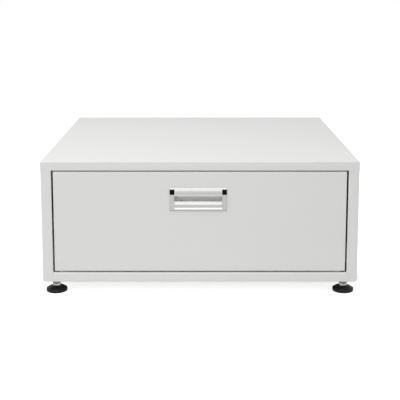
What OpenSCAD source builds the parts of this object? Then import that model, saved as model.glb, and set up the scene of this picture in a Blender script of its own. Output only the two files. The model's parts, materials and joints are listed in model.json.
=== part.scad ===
// Pedestal drawer that a washing machine stands on: a folded-steel cabinet on four screw feet,
// with a flush drawer front, a recessed pull and two full-extension ball slides.
// Origin: middle of the footprint, at floor level. X is width, Y is depth with the front at -Y, Z is up.
// The cabinet is drawn on fully retracted feet, with its drawer shut.

/* [Cabinet] */
// Outside width over the top panel
body_w = 595; // [520:1:700]
// Outside depth over the top panel
body_d = 570; // [550:1:680]
// Height of the cabinet, without the feet below it
body_h = 232; // [215:1:320]
// Thickness of the cabinet's sheet steel
sheet = 1.5; // [1.2:0.1:2]
// Outside radius of the sheet's bends
bend_r = 2; // [2:0.1:2.5]
// How far the top panel stands out over the panels below it
lid_over = 0.3; // [0.3:0.1:1]
// Fine joint line between two pieces of sheet
seam = 0.2; // [0.1:0.05:0.4]
// Height of the top panel's folded edge
top_rail_h = 17.5; // [12:0.5:24]
// Width of the upright beside the drawer front
stile_w = 20; // [17:0.5:26]
// Height of the rail below the drawer front
bottom_rail_h = 18.5; // [17:0.5:28]
// Radius of the cabinet's lower outer corners
corner_r = 4.5; // [3:0.5:6]
// Radius along the upper edge of the rail below the drawer
rail_edge_r = 3.5; // [2:0.5:5]
// How far the joint between upright and rail leans outward
mitre_run = 6.5; // [4:0.5:8]
// Depth of the lip above the drawer opening
lip_d = 12; // [8:0.5:14]
// Depth of the lip below the drawer opening
rail_lip_d = 6; // [5:0.5:14]
// Depth of the uprights' lips beside the drawer opening
stile_lip_d = 5; // [4:0.5:14]
// Distance from a side panel's ends to its tongue inside the top panel
tongue_in = 8; // [4:1:20]
// How far the tongue reaches down inside the side panel
tongue_drop = 12; // [8:1:16]
// Depth of the bottom rails
rail_d = 45; // [44:1:60]
// Height of the rear bottom rail
rear_rail_h = 36; // [24:1:50]
// Depth of the braces under the top panel
brace_h = 20; // [12:1:24]
// Width of a brace, without its flanges
brace_w = 50; // [40:1:80]
// Distance from the front or back of the top to the middle of a brace
brace_inset = 120; // [90:1:180]
// Thickness of the back panel
back_t = 1; // [0.8:0.1:1.5]
// How deep the field of the back panel is pressed in
back_press = 3; // [2:0.5:6]
// Distance from the back panel's side edges to its field
field_in = 30; // [24:1:60]
// Distance from the back panel's lower edge to its field
field_low = 32; // [28:1:50]
// Distance from the back panel's upper edge to its field
field_top = 16; // [8:1:30]
// Distance from the back panel's corners to its lower screws
back_screw_in = 60; // [40:1:120]
// Distance from the back panel's edges to its screws
back_screw_edge = 12; // [9:0.5:14]

/* [Feet] */
// Height from the floor to the cabinet, feet fully in
foot_h = 24; // [24:0.5:34]
// Distance from the outside faces to a foot's axis
foot_inset = 23; // [22:0.5:26]
// Diameter of a foot's pad
pad_d = 40; // [34:1:44]
// Height of the pad's rim
pad_rim_h = 6; // [4:0.5:7]
// Height of the pad at its middle
pad_h = 10.7; // [9:0.1:11]
// Diameter of the threaded stud
stud_d = 10; // [8:0.5:10]
// Length of the stud above its hexagon
stud_l = 40; // [34:1:44]
// Width across flats of the hexagons
hex_af = 14; // [13.5:0.5:17]
// Height of the stud's own hexagon
hex_h = 5; // [4:0.1:5]
// Height of the lock nut
lock_nut_h = 8; // [6:0.1:8]
// Height of the weld nut
weld_nut_h = 8; // [6:0.5:10]
// Thickness of the foot brackets
bracket_t = 3; // [2:0.5:4]
// Height of a foot bracket's upright leg
bracket_h = 25; // [18:1:34]
// Distance from a foot's axis to the inner edge of its bracket
bracket_in = 26; // [20:1:34]

/* [Drawer] */
// Gap beside the drawer front
face_gap = 3.2; // [1.5:0.1:4]
// Gap above the drawer front
face_gap_top = 2.1; // [1.5:0.1:4]
// Gap below the drawer front
face_gap_low = 2.6; // [1.5:0.1:4]
// How far the drawer front lies behind the frame around it
face_inset = 0.5; // [0:0.1:1.5]
// Depth of the drawer front's folded edge
pan_d = 14.5; // [12:0.5:14.5]
// Sheet thickness of the drawer
drawer_sheet = 1; // [0.8:0.1:1.2]
// Outside radius of the drawer front's edges
face_r = 2; // [1.2:0.1:3]
// Height of the drawer's sides
box_h = 146; // [110:1:150]
// Height of the drawer's underside above the lower edge of its front
box_lift = 10; // [8:1:16]
// Length of the drawer behind its front
box_l = 464; // [456:1:480]
// Width of the drawer's folded flanges
flange = 12; // [9:0.5:14]
// Distance from the drawer front's edges to the outer screws of its liner
liner_screw_in = 20; // [16:1:40]

/* [Slides] */
// Length of a slide, shut
slide_l = 450; // [400:5:450]
// Height of a slide
slide_h = 45.5; // [45:0.1:47]
// Width of a slide
slide_t = 12.7; // [12.6:0.1:14]
// Distance from the drawer's front liner to the slide
slide_back = 6.4; // [3:0.2:10]
// Height of the slide's middle above the drawer's underside
slide_rise = 66; // [45:1:80]
// Thickness of the slide's steel
slide_s = 1.2; // [1:0.1:1.2]
// Diameter of the outer row of balls
ball_outer_d = 4.5; // [4:0.1:4.6]
// Diameter of the inner row of balls
ball_inner_d = 4; // [3.6:0.1:4.2]
// Play around a ball
ball_play = 0.05; // [0.02:0.01:0.08]
// Balls in each row
ball_count = 9; // [5:1:11]
// Distance between balls
ball_pitch = 16; // [10:1:18]
// Distance from a slide's front end to its first screw
slide_screw_in = 30; // [20:1:50]
// How much shorter a middle member is than the slide
mid_short = 10; // [6:1:16]
// How much longer a ball cage is than its row of balls
cage_over = 12; // [8:1:20]
// Distance from a slide's front end to its spacer
spacer_in = 2; // [1:1:10]
// How far a spacer runs past the rear end of its slide
spacer_over = 10; // [4:1:16]
// Height of the rubber stop behind a middle member
bumper_h = 16; // [10:1:20]

/* [Handle] */
// Width of the handle's frame
handle_w = 107; // [90:1:140]
// Height of the handle's frame
handle_h = 43.5; // [40:0.5:56]
// Distance from the drawer front's upper edge to the handle
handle_drop = 30.8; // [20:0.2:60]
// How far the handle sits left of the middle
handle_off = 3; // [0:0.5:20]
// Width of the frame at each end of the grip
cheek_w = 8.8; // [8:0.1:12]
// How far the frame stands out from the drawer front
frame_t = 2; // [1.5:0.1:3]
// How far the frame covers the edge of its cut-out
frame_lap = 2.2; // [1.5:0.1:2.5]
// Height of the sloping ledge's lower edge above the frame's lower edge
ledge_low = 3.4; // [2:0.1:5]
// Height of the sloping ledge
ledge_h = 2.7; // [1.5:0.1:4]
// Height of the upright step above the ledge
step_h = 5.7; // [3:0.1:8]
// Height of the ramp that leads the fingers into the recess
ramp_h = 5.6; // [3:0.1:8]
// How far the recess's floor falls towards the back
cup_fall = 4.6; // [2:0.1:6]
// Depth of the finger recess behind the drawer front
cup_d = 25; // [18:0.5:32]
// Wall of the recess
cup_t = 1.5; // [1:0.1:2]
// Height of the grip
grip_h = 14.5; // [10:0.5:16]
// Thickness of the grip
grip_t = 2.4; // [1.5:0.1:3]
// Radius of the grip's curved front
grip_r = 24; // [18:1:40]
// How far the grip stands out from the drawer front
grip_out = 5; // [3:0.5:5]
// Height of the black end caps
cap_h = 9.8; // [6:0.1:12]

/* [Screws] */
// Diameter of the cabinet and slide screws
screw_d = 4; // [3:0.5:4]
// Diameter of the handle screws
handle_screw_d = 3; // [2.5:0.5:3]
// How deep a handle screw goes into the handle
handle_screw_in = 5.5; // [4:0.5:8]
// Height of a handle screw's head
handle_head_h = 1.8; // [1.2:0.1:2.4]
// Diameter of the rivets
rivet_d = 3.2; // [2.4:0.1:4]
// Play around a screw, rivet or stud
hole_play = 0.05; // [0.02:0.01:0.1]

/* [Hidden] */
$fn = 64;

// Colours
paint = [0.84, 0.84, 0.83];
inner_paint = [0.80, 0.80, 0.79];
zinc = [0.66, 0.67, 0.68];
bright_metal = [0.80, 0.80, 0.80];
black_plastic = [0.07, 0.07, 0.07];
yellow_zinc = [0.82, 0.80, 0.74];

// Cabinet
x_side = body_w / 2 - lid_over;              // outer face of the side panels
y_front = -body_d / 2 + lid_over;            // face of the uprights and of the bottom rail
y_back = body_d / 2 - lid_over - back_t;     // outer face of the sides' rear flanges
z_bot = foot_h;
z_top = foot_h + body_h;
z_lid = z_top - top_rail_h;                  // lower edge of the top panel
open_x = body_w / 2 - stile_w;               // half the width of the drawer opening
open_z = z_bot + bottom_rail_h;              // lower edge of the drawer opening
inner_r = bend_r - sheet;                    // inside radius of a bend
wall_x = x_side - sheet;                     // inner face of a side panel
foot_x = body_w / 2 - foot_inset;
foot_y = body_d / 2 - foot_inset;

// Drawer
y_face = y_front + face_inset;
y_pan = y_face + pan_d;                      // rear plane of the folded drawer front
y_liner = y_pan + drawer_sheet;              // rear face of the liner that closes it
front_x = open_x - face_gap;
front_z0 = open_z + face_gap_low;
front_z1 = z_lid - face_gap_top;
slide_gap = 0.5;                             // room between a slide and the drawer opening's edge
slide_x = open_x - slide_gap;                // mounting face of the outer slide members
box_x = slide_x - slide_t;                   // outer face of the drawer's sides
box_z0 = front_z0 + box_lift;
box_z1 = box_z0 + box_h;
box_y1 = y_liner + box_l;
floor_z = box_z0 + 2 * drawer_sheet;         // upper face of the drawer's bottom

// Slides: u runs from the mounting face towards the drawer, v is up from the slide's middle
slide_y = y_liner + slide_back;
slide_z = box_z0 + slide_rise;
head_h = 1.2;                                // screw heads inside the slide
web_gap = 0.25;                              // room between the webs and the cages
cage_s = 0.5;                                // sheet of a cage
outer_face_v = slide_h / 2 - slide_s;
outer_ball_v = outer_face_v - ball_play - ball_outer_d / 2;
mid_v = outer_ball_v - ball_outer_d / 2 - ball_play;
inner_ball_v = mid_v - slide_s - ball_play - ball_inner_d / 2;
inner_v = inner_ball_v - ball_inner_d / 2 - ball_play;
outer_cage_u = slide_s + head_h + web_gap;
mid_u = outer_cage_u + cage_s + web_gap;
inner_cage_u = mid_u + slide_s + web_gap;
inner_u = inner_cage_u + cage_s + web_gap;
ball_u = (mid_u + slide_t) / 2;
cage_l = ball_count * ball_pitch + cage_over;
mid_l = slide_l - mid_short;
cage_y = slide_y + mid_l / 2;                // halfway along, so that it stays between both members
slide_screw_y = [slide_screw_in, slide_l / 2, slide_l - 2 * slide_screw_in];

// Handle
handle_z1 = front_z1 - handle_drop;
handle_z0 = handle_z1 - handle_h;
handle_x = -handle_off;
frame_y = y_face - frame_t;
grip_w = handle_w - 2 * cheek_w;
cap_z1 = handle_z1 - 2.8;
cap_z0 = cap_z1 - cap_h;
ledge_z0 = handle_z0 + ledge_low;
ledge_z1 = ledge_z0 + ledge_h;
step_z1 = ledge_z1 + step_h;
ramp_z1 = step_z1 + ramp_h;                  // highest line of the recess's front wall
cup_floor = ramp_z1 - cup_fall;              // floor of the recess, at its back
step_y = frame_y + 0.8 * ledge_h;
ramp_y1 = step_y + 0.65 * ramp_h;
cup_y = y_face + cup_d;

// Back panel screws: three along the lower edge and two up each side
back_x = x_side - 5;
back_z0 = z_bot + 5;
back_z1 = z_lid - 1;
back_screws = concat([for (x = [-1, 0, 1]) [x * (back_x - back_screw_in), back_z0 + back_screw_edge]],
                     [for (x = [-1, 1], t = [0.35, 0.85])
                         [x * (back_x - 0.6 * back_screw_edge), back_z0 + t * (back_z1 - back_z0)]]);
liner_screws = [for (x = [-1, -0.5, 0.5, 1], z = [front_z0 + flange / 2, front_z1 - flange / 2])
    [x * (front_x - liner_screw_in), z]];
rivet_z = [for (t = [0.12, 0.75, 0.93]) box_z0 + t * box_h];
rivet_inset = flange / 2;

// Solids from flat outlines: along_x takes an outline in (y, z), along_y in (x, z), along_z in (x, y)
module along_x(x0, x1)
    translate([x0, 0, 0]) rotate([90, 0, 90]) linear_extrude(x1 - x0) children();

module along_y(y0, y1)
    translate([0, y1, 0]) rotate([90, 0, 0]) linear_extrude(y1 - y0) children();

module along_z(z0, z1)
    translate([0, 0, z0]) linear_extrude(z1 - z0) children();

// Box between two opposite corners
module block(x0, y0, z0, x1, y1, z1)
    translate([x0, y0, z0]) cube([x1 - x0, y1 - y0, z1 - z0]);

// Round bar from a point along an axis
module bar_x(x, y, z, r, l)
    translate([x, y, z]) rotate([0, 90, 0]) cylinder(r = r, h = l);

module bar_y(x, y, z, r, l)
    translate([x, y, z]) rotate([-90, 0, 0]) cylinder(r = r, h = l);

module bar_z(x, y, z, r, l)
    translate([x, y, z]) cylinder(r = r, h = l);

// What is taken off one square corner to round it
module corner_cut(x, y, sx, sy, r)
    if (r > 0)
        translate([x, y])
            mirror([sx < 0 ? 1 : 0, 0])
                mirror([0, sy < 0 ? 1 : 0])
                    difference() {
                        translate([-1, -1]) square(r + 1);
                        translate([r, r]) circle(r);
                    }

// Rectangle with a radius at each corner: lower left, lower right, upper right, upper left
module plate(x0, y0, x1, y1, r = [0, 0, 0, 0])
    difference() {
        translate([x0, y0]) square([x1 - x0, y1 - y0]);
        corner_cut(x0, y0, 1, 1, r[0]);
        corner_cut(x1, y0, -1, 1, r[1]);
        corner_cut(x1, y1, -1, -1, r[2]);
        corner_cut(x0, y1, 1, -1, r[3]);
    }

// The left-hand piece as drawn, or its mirror image on the right
module on_side(side)
    mirror([side > 0 ? 1 : 0, 0, 0]) children();

// ---- cabinet ----

module top_panel() {
    r = bend_r;
    q = inner_r;
    color(paint) {
        difference() {
            intersection() {
                along_z(z_lid, z_top) plate(-body_w / 2, -body_d / 2, body_w / 2, body_d / 2, [r, r, r, r]);
                along_y(-body_d / 2, body_d / 2) plate(-body_w / 2, z_lid, body_w / 2, z_top, [0, 0, r, r]);
                along_x(-body_w / 2, body_w / 2) plate(-body_d / 2, z_lid, body_d / 2, z_top, [0, 0, r, r]);
            }
            block(-body_w / 2 + sheet, -body_d / 2 + sheet, z_lid - 1,
                  body_w / 2 - sheet, body_d / 2 - sheet, z_top - sheet);
            // bend along the upper edge of the drawer opening
            along_x(-open_x, open_x) corner_cut(-body_d / 2, z_lid, 1, 1, r);
        }
        // lip behind that bend
        along_x(-open_x, open_x)
            difference() {
                plate(-body_d / 2, z_lid, -body_d / 2 + lip_d, z_lid + r + 1, [r, 0, 0, 0]);
                plate(-body_d / 2 + sheet, z_lid + sheet, -body_d / 2 + lip_d + 1, z_lid + r + 2,
                      [q, 0, 0, 0]);
            }
    }
}

// Room that the front bottom rail takes out of the side panels
module front_rail_outline(g)
    polygon([[-open_x - g, open_z + g], [open_x + g, open_z + g],
             [open_x + mitre_run + g, z_bot], [open_x + mitre_run + g, z_bot - 1],
             [-open_x - mitre_run - g, z_bot - 1], [-open_x - mitre_run - g, z_bot]]);

module side_panel(side)
    color(paint) on_side(side) {
        z1 = z_lid - seam;
        difference() {
            // outer wall, upright, rear flange and bottom flange folded from one sheet
            intersection() {
                along_z(z_bot, z1) plate(-x_side, y_front, -open_x, y_back, [bend_r, bend_r, 0, bend_r]);
                along_y(y_front, y_back) plate(-x_side, z_bot, -open_x, z1, [corner_r, 0, 0, 0]);
            }
            intersection() {
                along_z(z_bot + sheet, z1 + 1)
                    plate(-wall_x, y_front + sheet, -open_x - sheet, y_back - sheet,
                          [inner_r, inner_r, 0, inner_r]);
                along_y(y_front, y_back)
                    plate(-wall_x, z_bot + sheet, -open_x, z1 + 2, [corner_r - sheet, 0, 0, 0]);
            }
            // the inner wall is only a lip behind the upright
            block(-open_x - sheet - 0.5, y_front + stile_lip_d, z_bot + sheet,
                  -open_x + 1, y_back - sheet, z1 + 1);
            // room for the bottom rails
            along_y(y_front - 1, y_front + rail_d + seam) front_rail_outline(seam);
            block(-open_x - mitre_run - seam, y_back - rail_d - seam, z_bot - 1,
                  -open_x + 1, y_back - sheet, z_bot + sheet);
            for (s = back_screws)
                if (s[0] < -open_x) bar_y(s[0], y_back - sheet - 1, s[1], screw_d / 2 + hole_play, sheet + 2);
        }
        // joggled tongue inside the top panel's edge
        block(-body_w / 2 + sheet + 0.1, y_front + tongue_in, z1 - tongue_drop,
              -body_w / 2 + 2 * sheet + 0.1, y_back - tongue_in, z_top - sheet - 0.1);
    }

module front_bottom_rail()
    color(paint) difference() {
        intersection() {
            along_y(y_front, y_front + rail_d) front_rail_outline(0);
            along_x(-x_side, x_side)
                difference() {
                    plate(y_front, z_bot, y_front + rail_d, open_z, [bend_r, 0, 0, rail_edge_r]);
                    plate(y_front + sheet, z_bot + sheet, y_front + rail_d + 1, open_z - sheet,
                          [inner_r, 0, 0, rail_edge_r - sheet]);
                    // the upper flange is only a lip
                    translate([y_front + rail_lip_d, z_bot + 2 * sheet]) square([rail_d, bottom_rail_h]);
                }
        }
        for (x = [-foot_x, foot_x]) bar_z(x, -foot_y, z_bot - 1, stud_d / 2 + hole_play, sheet + 2);
    }

module rear_bottom_rail()
    color(paint) difference() {
        union() {
            along_x(-open_x + seam, open_x - seam)
                difference() {
                    plate(y_back - rail_d, z_bot, y_back, z_bot + rear_rail_h, [0, bend_r, 0, 0]);
                    plate(y_back - rail_d - 1, z_bot + sheet, y_back - sheet, z_bot + rear_rail_h + 1,
                          [0, inner_r, 0, 0]);
                }
            block(-open_x - mitre_run, y_back - rail_d, z_bot, open_x + mitre_run, y_back - sheet - seam,
                  z_bot + sheet);
        }
        for (x = [-foot_x, foot_x]) bar_z(x, foot_y, z_bot - 1, stud_d / 2 + hole_play, sheet + 2);
        for (s = back_screws)
            if (abs(s[0]) < open_x) bar_y(s[0], y_back - sheet - 1, s[1], screw_d / 2 + hole_play, sheet + 2);
    }

// Hat-shaped brace that stiffens the top where a machine's feet stand
module top_brace(y)
    color(zinc) along_x(-body_w / 2 + 3 * sheet, body_w / 2 - 3 * sheet) {
        z1 = z_top - sheet;
        difference() {
            plate(y - brace_w / 2, z1 - brace_h, y + brace_w / 2, z1, [bend_r, bend_r, 0, 0]);
            plate(y - brace_w / 2 + sheet, z1 - brace_h + sheet, y + brace_w / 2 - sheet, z1 + 1,
                  [inner_r, inner_r, 0, 0]);
        }
        for (s = [-1, 1])
            translate([y + s * (brace_w / 2 + flange / 2 - 0.5) - flange / 2, z1 - sheet])
                square([flange, sheet]);
    }

module back_panel() {
    field_x = back_x - field_in;
    field_z0 = back_z0 + field_low;
    field_z1 = back_z1 - field_top;
    r = [4, 4, 4, 4];
    color(paint) difference() {
        union() {
            along_y(y_back, y_back + back_t)
                difference() {
                    plate(-back_x, back_z0, back_x, back_z1, r);
                    plate(-field_x + back_t, field_z0 + back_t, field_x - back_t, field_z1 - back_t, r);
                }
            // walls and floor of the field pressed in towards the drawer
            along_y(y_back - back_press, y_back + back_t)
                difference() {
                    plate(-field_x, field_z0, field_x, field_z1, r);
                    plate(-field_x + back_t, field_z0 + back_t, field_x - back_t, field_z1 - back_t, r);
                }
            along_y(y_back - back_press, y_back - back_press + back_t)
                plate(-field_x, field_z0, field_x, field_z1, r);
        }
        for (s = back_screws) bar_y(s[0], y_back - 1, s[1], screw_d / 2 + hole_play, back_t + 2);
    }
}

module back_panel_screws()
    color(zinc)
        for (s = back_screws) {
            bar_y(s[0], y_back - sheet - 5, s[1], screw_d / 2, sheet + 5 + back_t);
            bar_y(s[0], y_back + back_t, s[1], screw_d, 1.6);
        }

// ---- feet ----

hex_r = hex_af / 2 / cos(30);

module hexagon(x, y, z, h)
    translate([x, y, z]) rotate([0, 0, 30]) cylinder(r = hex_r, h = h, $fn = 6);

module at_feet()
    for (x = [-foot_x, foot_x], y = [-foot_y, foot_y]) translate([x, y, 0]) children();

bracket_z = z_bot + sheet;

module foot_bracket(side, end)
    color(zinc) on_side(side) difference() {
        half = foot_inset - 4;
        reach = foot_x - bracket_in;
        along_y(end * foot_y - half, end * foot_y + half)
            difference() {
                plate(-wall_x, bracket_z, -reach, bracket_z + bracket_h, [corner_r - sheet + 0.5, 0, 0, 0]);
                plate(-wall_x + bracket_t, bracket_z + bracket_t, -reach + 1, bracket_z + bracket_h + 1);
            }
        bar_z(-foot_x, end * foot_y, bracket_z - 1, stud_d / 2 + hole_play, bracket_t + 2);
    }

module foot_weld_nuts()
    color(zinc) at_feet() difference() {
        hexagon(0, 0, bracket_z + bracket_t, weld_nut_h);
        bar_z(0, 0, bracket_z, stud_d / 2 + hole_play, bracket_t + weld_nut_h + 1);
    }

module foot_lock_nuts()
    color(zinc) at_feet() difference() {
        hexagon(0, 0, z_bot - lock_nut_h, lock_nut_h);
        bar_z(0, 0, z_bot - lock_nut_h - 1, stud_d / 2 + hole_play, lock_nut_h + 2);
    }

socket_r = 6;                                // round end of the stud, which turns in the pad
socket_z = 3;

module foot_pad(side, end) {
    rim_r = pad_d / 2 - 0.8;
    neck_r = socket_r + 2.2;
    dome_z = (neck_r * neck_r + pad_h * pad_h - rim_r * rim_r - pad_rim_h * pad_rim_h)
             / (2 * (pad_h - pad_rim_h));
    dome_r = sqrt(rim_r * rim_r + (pad_rim_h - dome_z) * (pad_rim_h - dome_z));
    color(black_plastic) translate([side * foot_x, end * foot_y, 0])
        rotate_extrude()
            difference() {
                union() {
                    plate(0, 0, pad_d / 2, pad_rim_h, [0, 1.2, 0.8, 0]);
                    intersection() {
                        square([rim_r, pad_h]);
                        translate([0, dome_z]) circle(dome_r, $fn = 128);
                    }
                }
                translate([-1, socket_z]) square([socket_r + hole_play + 1, pad_h]);
                translate([-dome_r - 1, -1]) square([dome_r + 1, pad_h + 2]);
            }
}

module foot_stud(side, end) {
    hex_z = pad_h + hole_play;
    color(zinc) translate([side * foot_x, end * foot_y, 0]) {
        bar_z(0, 0, socket_z + hole_play, socket_r, hex_z - socket_z);
        hexagon(0, 0, hex_z, hex_h);
        bar_z(0, 0, hex_z + hex_h / 2, stud_d / 2, stud_l + hex_h / 2);
    }
}

// ---- slides ----

// Spacer that carries the outer slide member clear of the upright
module slide_spacer(side)
    color(zinc) on_side(side) difference() {
        half = slide_h / 2 + 6;
        along_y(slide_y + spacer_in, slide_y + slide_l + spacer_over) {
            difference() {
                plate(-wall_x, slide_z - half, -slide_x, slide_z + half, [0, bend_r, bend_r, 0]);
                plate(-wall_x - 1, slide_z - half + sheet, -slide_x - sheet, slide_z + half - sheet,
                      [0, inner_r, inner_r, 0]);
            }
            for (s = [-1, 1])
                translate([-wall_x, slide_z + s * (half + flange / 2 - 0.5) - flange / 2])
                    square([sheet, flange]);
        }
        for (y = slide_screw_y)
            bar_x(-slide_x - sheet - 1, slide_y + y, slide_z, screw_d / 2 + hole_play, sheet + 2);
    }

// Outline in (x, z) given in the slide's own u and v, mirrored above and below its middle
module in_slide()
    translate([-slide_x, slide_z])
        for (m = [0, 1]) mirror([0, m]) children();

module slide_bar(y, l)
    along_y(y, y + l) in_slide() children();

module slide_outer(side)
    color(zinc) on_side(side) difference() {
        slide_bar(slide_y, slide_l) {
            translate([0, -0.1]) square([slide_s, slide_h / 2 + 0.1]);
            translate([0, outer_face_v]) square([slide_t - 0.5, slide_s]);
            translate([slide_t - 0.5 - slide_s, outer_face_v - 1.4]) square([slide_s, 1.5]);
        }
        for (y = slide_screw_y)
            bar_x(-slide_x - 1, slide_y + y, slide_z, screw_d / 2 + hole_play, slide_s + 2);
    }

module slide_middle(side)
    color(zinc) on_side(side)
        slide_bar(slide_y, mid_l) {
            tip = slide_t - 1.4;
            translate([mid_u, -0.1]) square([slide_s, mid_v + 0.1]);
            translate([mid_u, mid_v - slide_s]) square([tip - mid_u, slide_s]);
            translate([tip - 1, mid_v - slide_s - 1.2]) square([1, slide_s + 2.4]);
        }

module slide_inner(side)
    color(zinc) on_side(side) difference() {
        slide_bar(slide_y, slide_l) {
            translate([slide_t - slide_s, -0.1]) square([slide_s, inner_v + 0.1]);
            translate([inner_u, inner_v - slide_s]) square([slide_t - inner_u, slide_s]);
        }
        for (y = slide_screw_y)
            bar_x(-slide_x + slide_t - slide_s - 1, slide_y + y, slide_z,
                  screw_d / 2 + hole_play, slide_s + 2);
    }

function ball_y(i) = cage_y + (i - (ball_count - 1) / 2) * ball_pitch;

// Cage: a thin channel with one pocket for each ball
module ball_cage(side, u, v, d)
    color(yellow_zinc) on_side(side) difference() {
        slide_bar(cage_y - cage_l / 2, cage_l) {
            translate([u, -0.1]) square([cage_s, v + 0.35]);
            translate([u, v - 0.35]) square([ball_u + d / 2 + 0.6 - u, 0.7]);
        }
        for (i = [0:ball_count - 1])
            bar_z(-slide_x + ball_u, ball_y(i), slide_z - v - 1, d / 2 + ball_play, 2 * v + 2);
    }

module slide_balls(v, d)
    color(bright_metal)
        for (side = [-1, 1], i = [0:ball_count - 1], m = [-1, 1])
            translate([side * (slide_x - ball_u), ball_y(i), slide_z + m * v]) sphere(d = d);

module outer_slide_screws()
    color(zinc)
        for (side = [-1, 1], y = slide_screw_y) on_side(side) {
            bar_x(-slide_x - sheet - 3, slide_y + y, slide_z, screw_d / 2, sheet + 3 + slide_s);
            bar_x(-slide_x + slide_s, slide_y + y, slide_z, screw_d, head_h);
        }

module inner_slide_screws()
    color(zinc)
        for (side = [-1, 1], y = slide_screw_y) on_side(side) {
            x = -slide_x + slide_t - slide_s;
            bar_x(x - 1.5, slide_y + y, slide_z, screw_d, 1.5);
            bar_x(x - 0.5, slide_y + y, slide_z, screw_d / 2, slide_s + drawer_sheet + 2.5);
        }

// Rubber stops that the middle members rest against when the drawer is shut
module slide_bumpers()
    color(black_plastic)
        for (side = [-1, 1]) on_side(side)
            along_y(slide_y + mid_l + 0.3, slide_y + slide_l)
                translate([-slide_x + slide_s, slide_z - bumper_h / 2]) square([mid_u, bumper_h]);

// ---- drawer ----

module drawer_front() {
    t = drawer_sheet;
    r = face_r;
    q = max(face_r - t, 0.1);
    color(paint) difference() {
        intersection() {
            along_z(front_z0, front_z1) plate(-front_x, y_face, front_x, y_pan, [r, r, 0, 0]);
            along_x(-front_x, front_x) plate(y_face, front_z0, y_pan, front_z1, [r, 0, 0, r]);
        }
        intersection() {
            along_z(front_z0 + t, front_z1 - t)
                plate(-front_x + t, y_face + t, front_x - t, y_pan - t, [q, q, 0, 0]);
            along_x(-front_x, front_x)
                plate(y_face + t, front_z0 + t, y_pan - t, front_z1 - t, [q, 0, 0, q]);
        }
        // open back inside the folded flanges
        block(-front_x + flange, y_face + t + 1, front_z0 + flange, front_x - flange, y_pan + 1,
              front_z1 - flange);
        // cut-out for the handle
        block(handle_x - handle_w / 2 + frame_lap, y_face - 1, handle_z0 + frame_lap,
              handle_x + handle_w / 2 - frame_lap, y_face + t + 1, handle_z1 - frame_lap);
        for (s = liner_screws) bar_y(s[0], y_pan - t - 1, s[1], screw_d / 2 + hole_play, t + 2);
    }
}

module drawer_front_liner()
    color(inner_paint) difference() {
        along_y(y_pan, y_liner)
            difference() {
                plate(-front_x + 1, front_z0 + 1, front_x - 1, front_z1 - 1);
                plate(handle_x - grip_w / 2 - cup_t - 0.5, handle_z0 + frame_lap + 2,
                      handle_x + grip_w / 2 + cup_t + 0.5, handle_z1 - frame_lap + 0.5);
            }
        for (s = liner_screws) bar_y(s[0], y_pan - 1, s[1], screw_d / 2 + hole_play, drawer_sheet + 2);
        for (s = [-1, 1]) {
            bar_y(handle_screw_x(s), y_pan - 1, handle_screw_z,
                  handle_screw_d / 2 + hole_play, drawer_sheet + 2);
            for (z = rivet_z)
                bar_y(s * (box_x - drawer_sheet - rivet_inset), y_pan - 1, z, rivet_d / 2 + hole_play,
                      drawer_sheet + 2);
        }
    }

module front_liner_screws()
    color(zinc)
        for (s = liner_screws) {
            bar_y(s[0], y_liner - drawer_sheet - 6, s[1], screw_d / 2, 6 + drawer_sheet);
            bar_y(s[0], y_liner, s[1], screw_d * 0.9, 0.8);
        }

module drawer_bottom()
    color(inner_paint) {
        t = drawer_sheet;
        edge = box_x - t;
        y1 = box_y1 - t;
        block(-edge, y_liner, box_z0 + t, edge, y1, floor_z);
        block(-edge + flange + 4, y_liner, box_z0 + t, edge - flange - 4, y_liner + t, floor_z + flange);
    }

module drawer_side(side)
    color(inner_paint) on_side(side) difference() {
        t = drawer_sheet;
        union() {
            block(-box_x, y_liner, box_z0, -box_x + t, box_y1, box_z1);
            // folded-in edges: top, bottom and front
            block(-box_x, y_liner, box_z1 - t, -box_x + flange * 0.7, box_y1, box_z1);
            block(-box_x, y_liner, box_z0, -box_x + t + flange, box_y1, box_z0 + t);
            block(-box_x, y_liner, floor_z, -box_x + t + flange, y_liner + t, box_z1);
        }
        for (y = slide_screw_y) bar_x(-box_x - 1, slide_y + y, slide_z, screw_d / 2 + hole_play, t + 2);
        for (z = rivet_z) {
            bar_x(-box_x - 1, box_y1 - t - rivet_inset, z, rivet_d / 2 + hole_play, t + 2);
            bar_y(-box_x + t + rivet_inset, y_liner - 1, z, rivet_d / 2 + hole_play, t + 2);
        }
    }

module drawer_back()
    color(inner_paint) difference() {
        t = drawer_sheet;
        edge = box_x - t;
        top = box_z1 - t;
        union() {
            block(-edge, box_y1 - t, box_z0 + t, edge, box_y1, top);
            block(-edge + flange * 0.7, box_y1 - flange * 0.7, top - t, edge - flange * 0.7, box_y1, top);
            for (s = [-1, 1])
                block(s * (edge - t / 2) - t / 2, box_y1 - t - flange, floor_z,
                      s * (edge - t / 2) + t / 2, box_y1, top - t);
        }
        for (s = [-1, 1], z = rivet_z)
            bar_x(s * edge - t - 1, box_y1 - t - rivet_inset, z, rivet_d / 2 + hole_play, 2 * t + 2);
    }

// Blind rivets: the sides to the back, and the sides to the front liner
module drawer_rivets()
    color(zinc)
        for (side = [-1, 1], z = rivet_z) on_side(side) {
            t = drawer_sheet;
            y = box_y1 - t - rivet_inset;
            bar_x(-box_x - 0.8, y, z, rivet_d, 0.8);
            bar_x(-box_x - 0.1, y, z, rivet_d / 2, 2 * t + 1.5);
            bar_y(-box_x + t + rivet_inset, y_liner + t, z, rivet_d, 0.8);
            bar_y(-box_x + t + rivet_inset, y_pan - 1.5, z, rivet_d / 2, 2 * t + 1.6);
        }

// ---- handle ----

function handle_screw_x(s) = handle_x + s * (handle_w / 2 - cheek_w / 2);
handle_screw_z = (handle_z0 + handle_z1) / 2 - 4;
peg_r = 2;
peg_l = 7;
pin_r = 1.5;
pin_l = 1.6;
pin_y = y_face + 3.2;
cap_z = (cap_z0 + cap_z1) / 2;
frame_bevel = 1.4;

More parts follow.
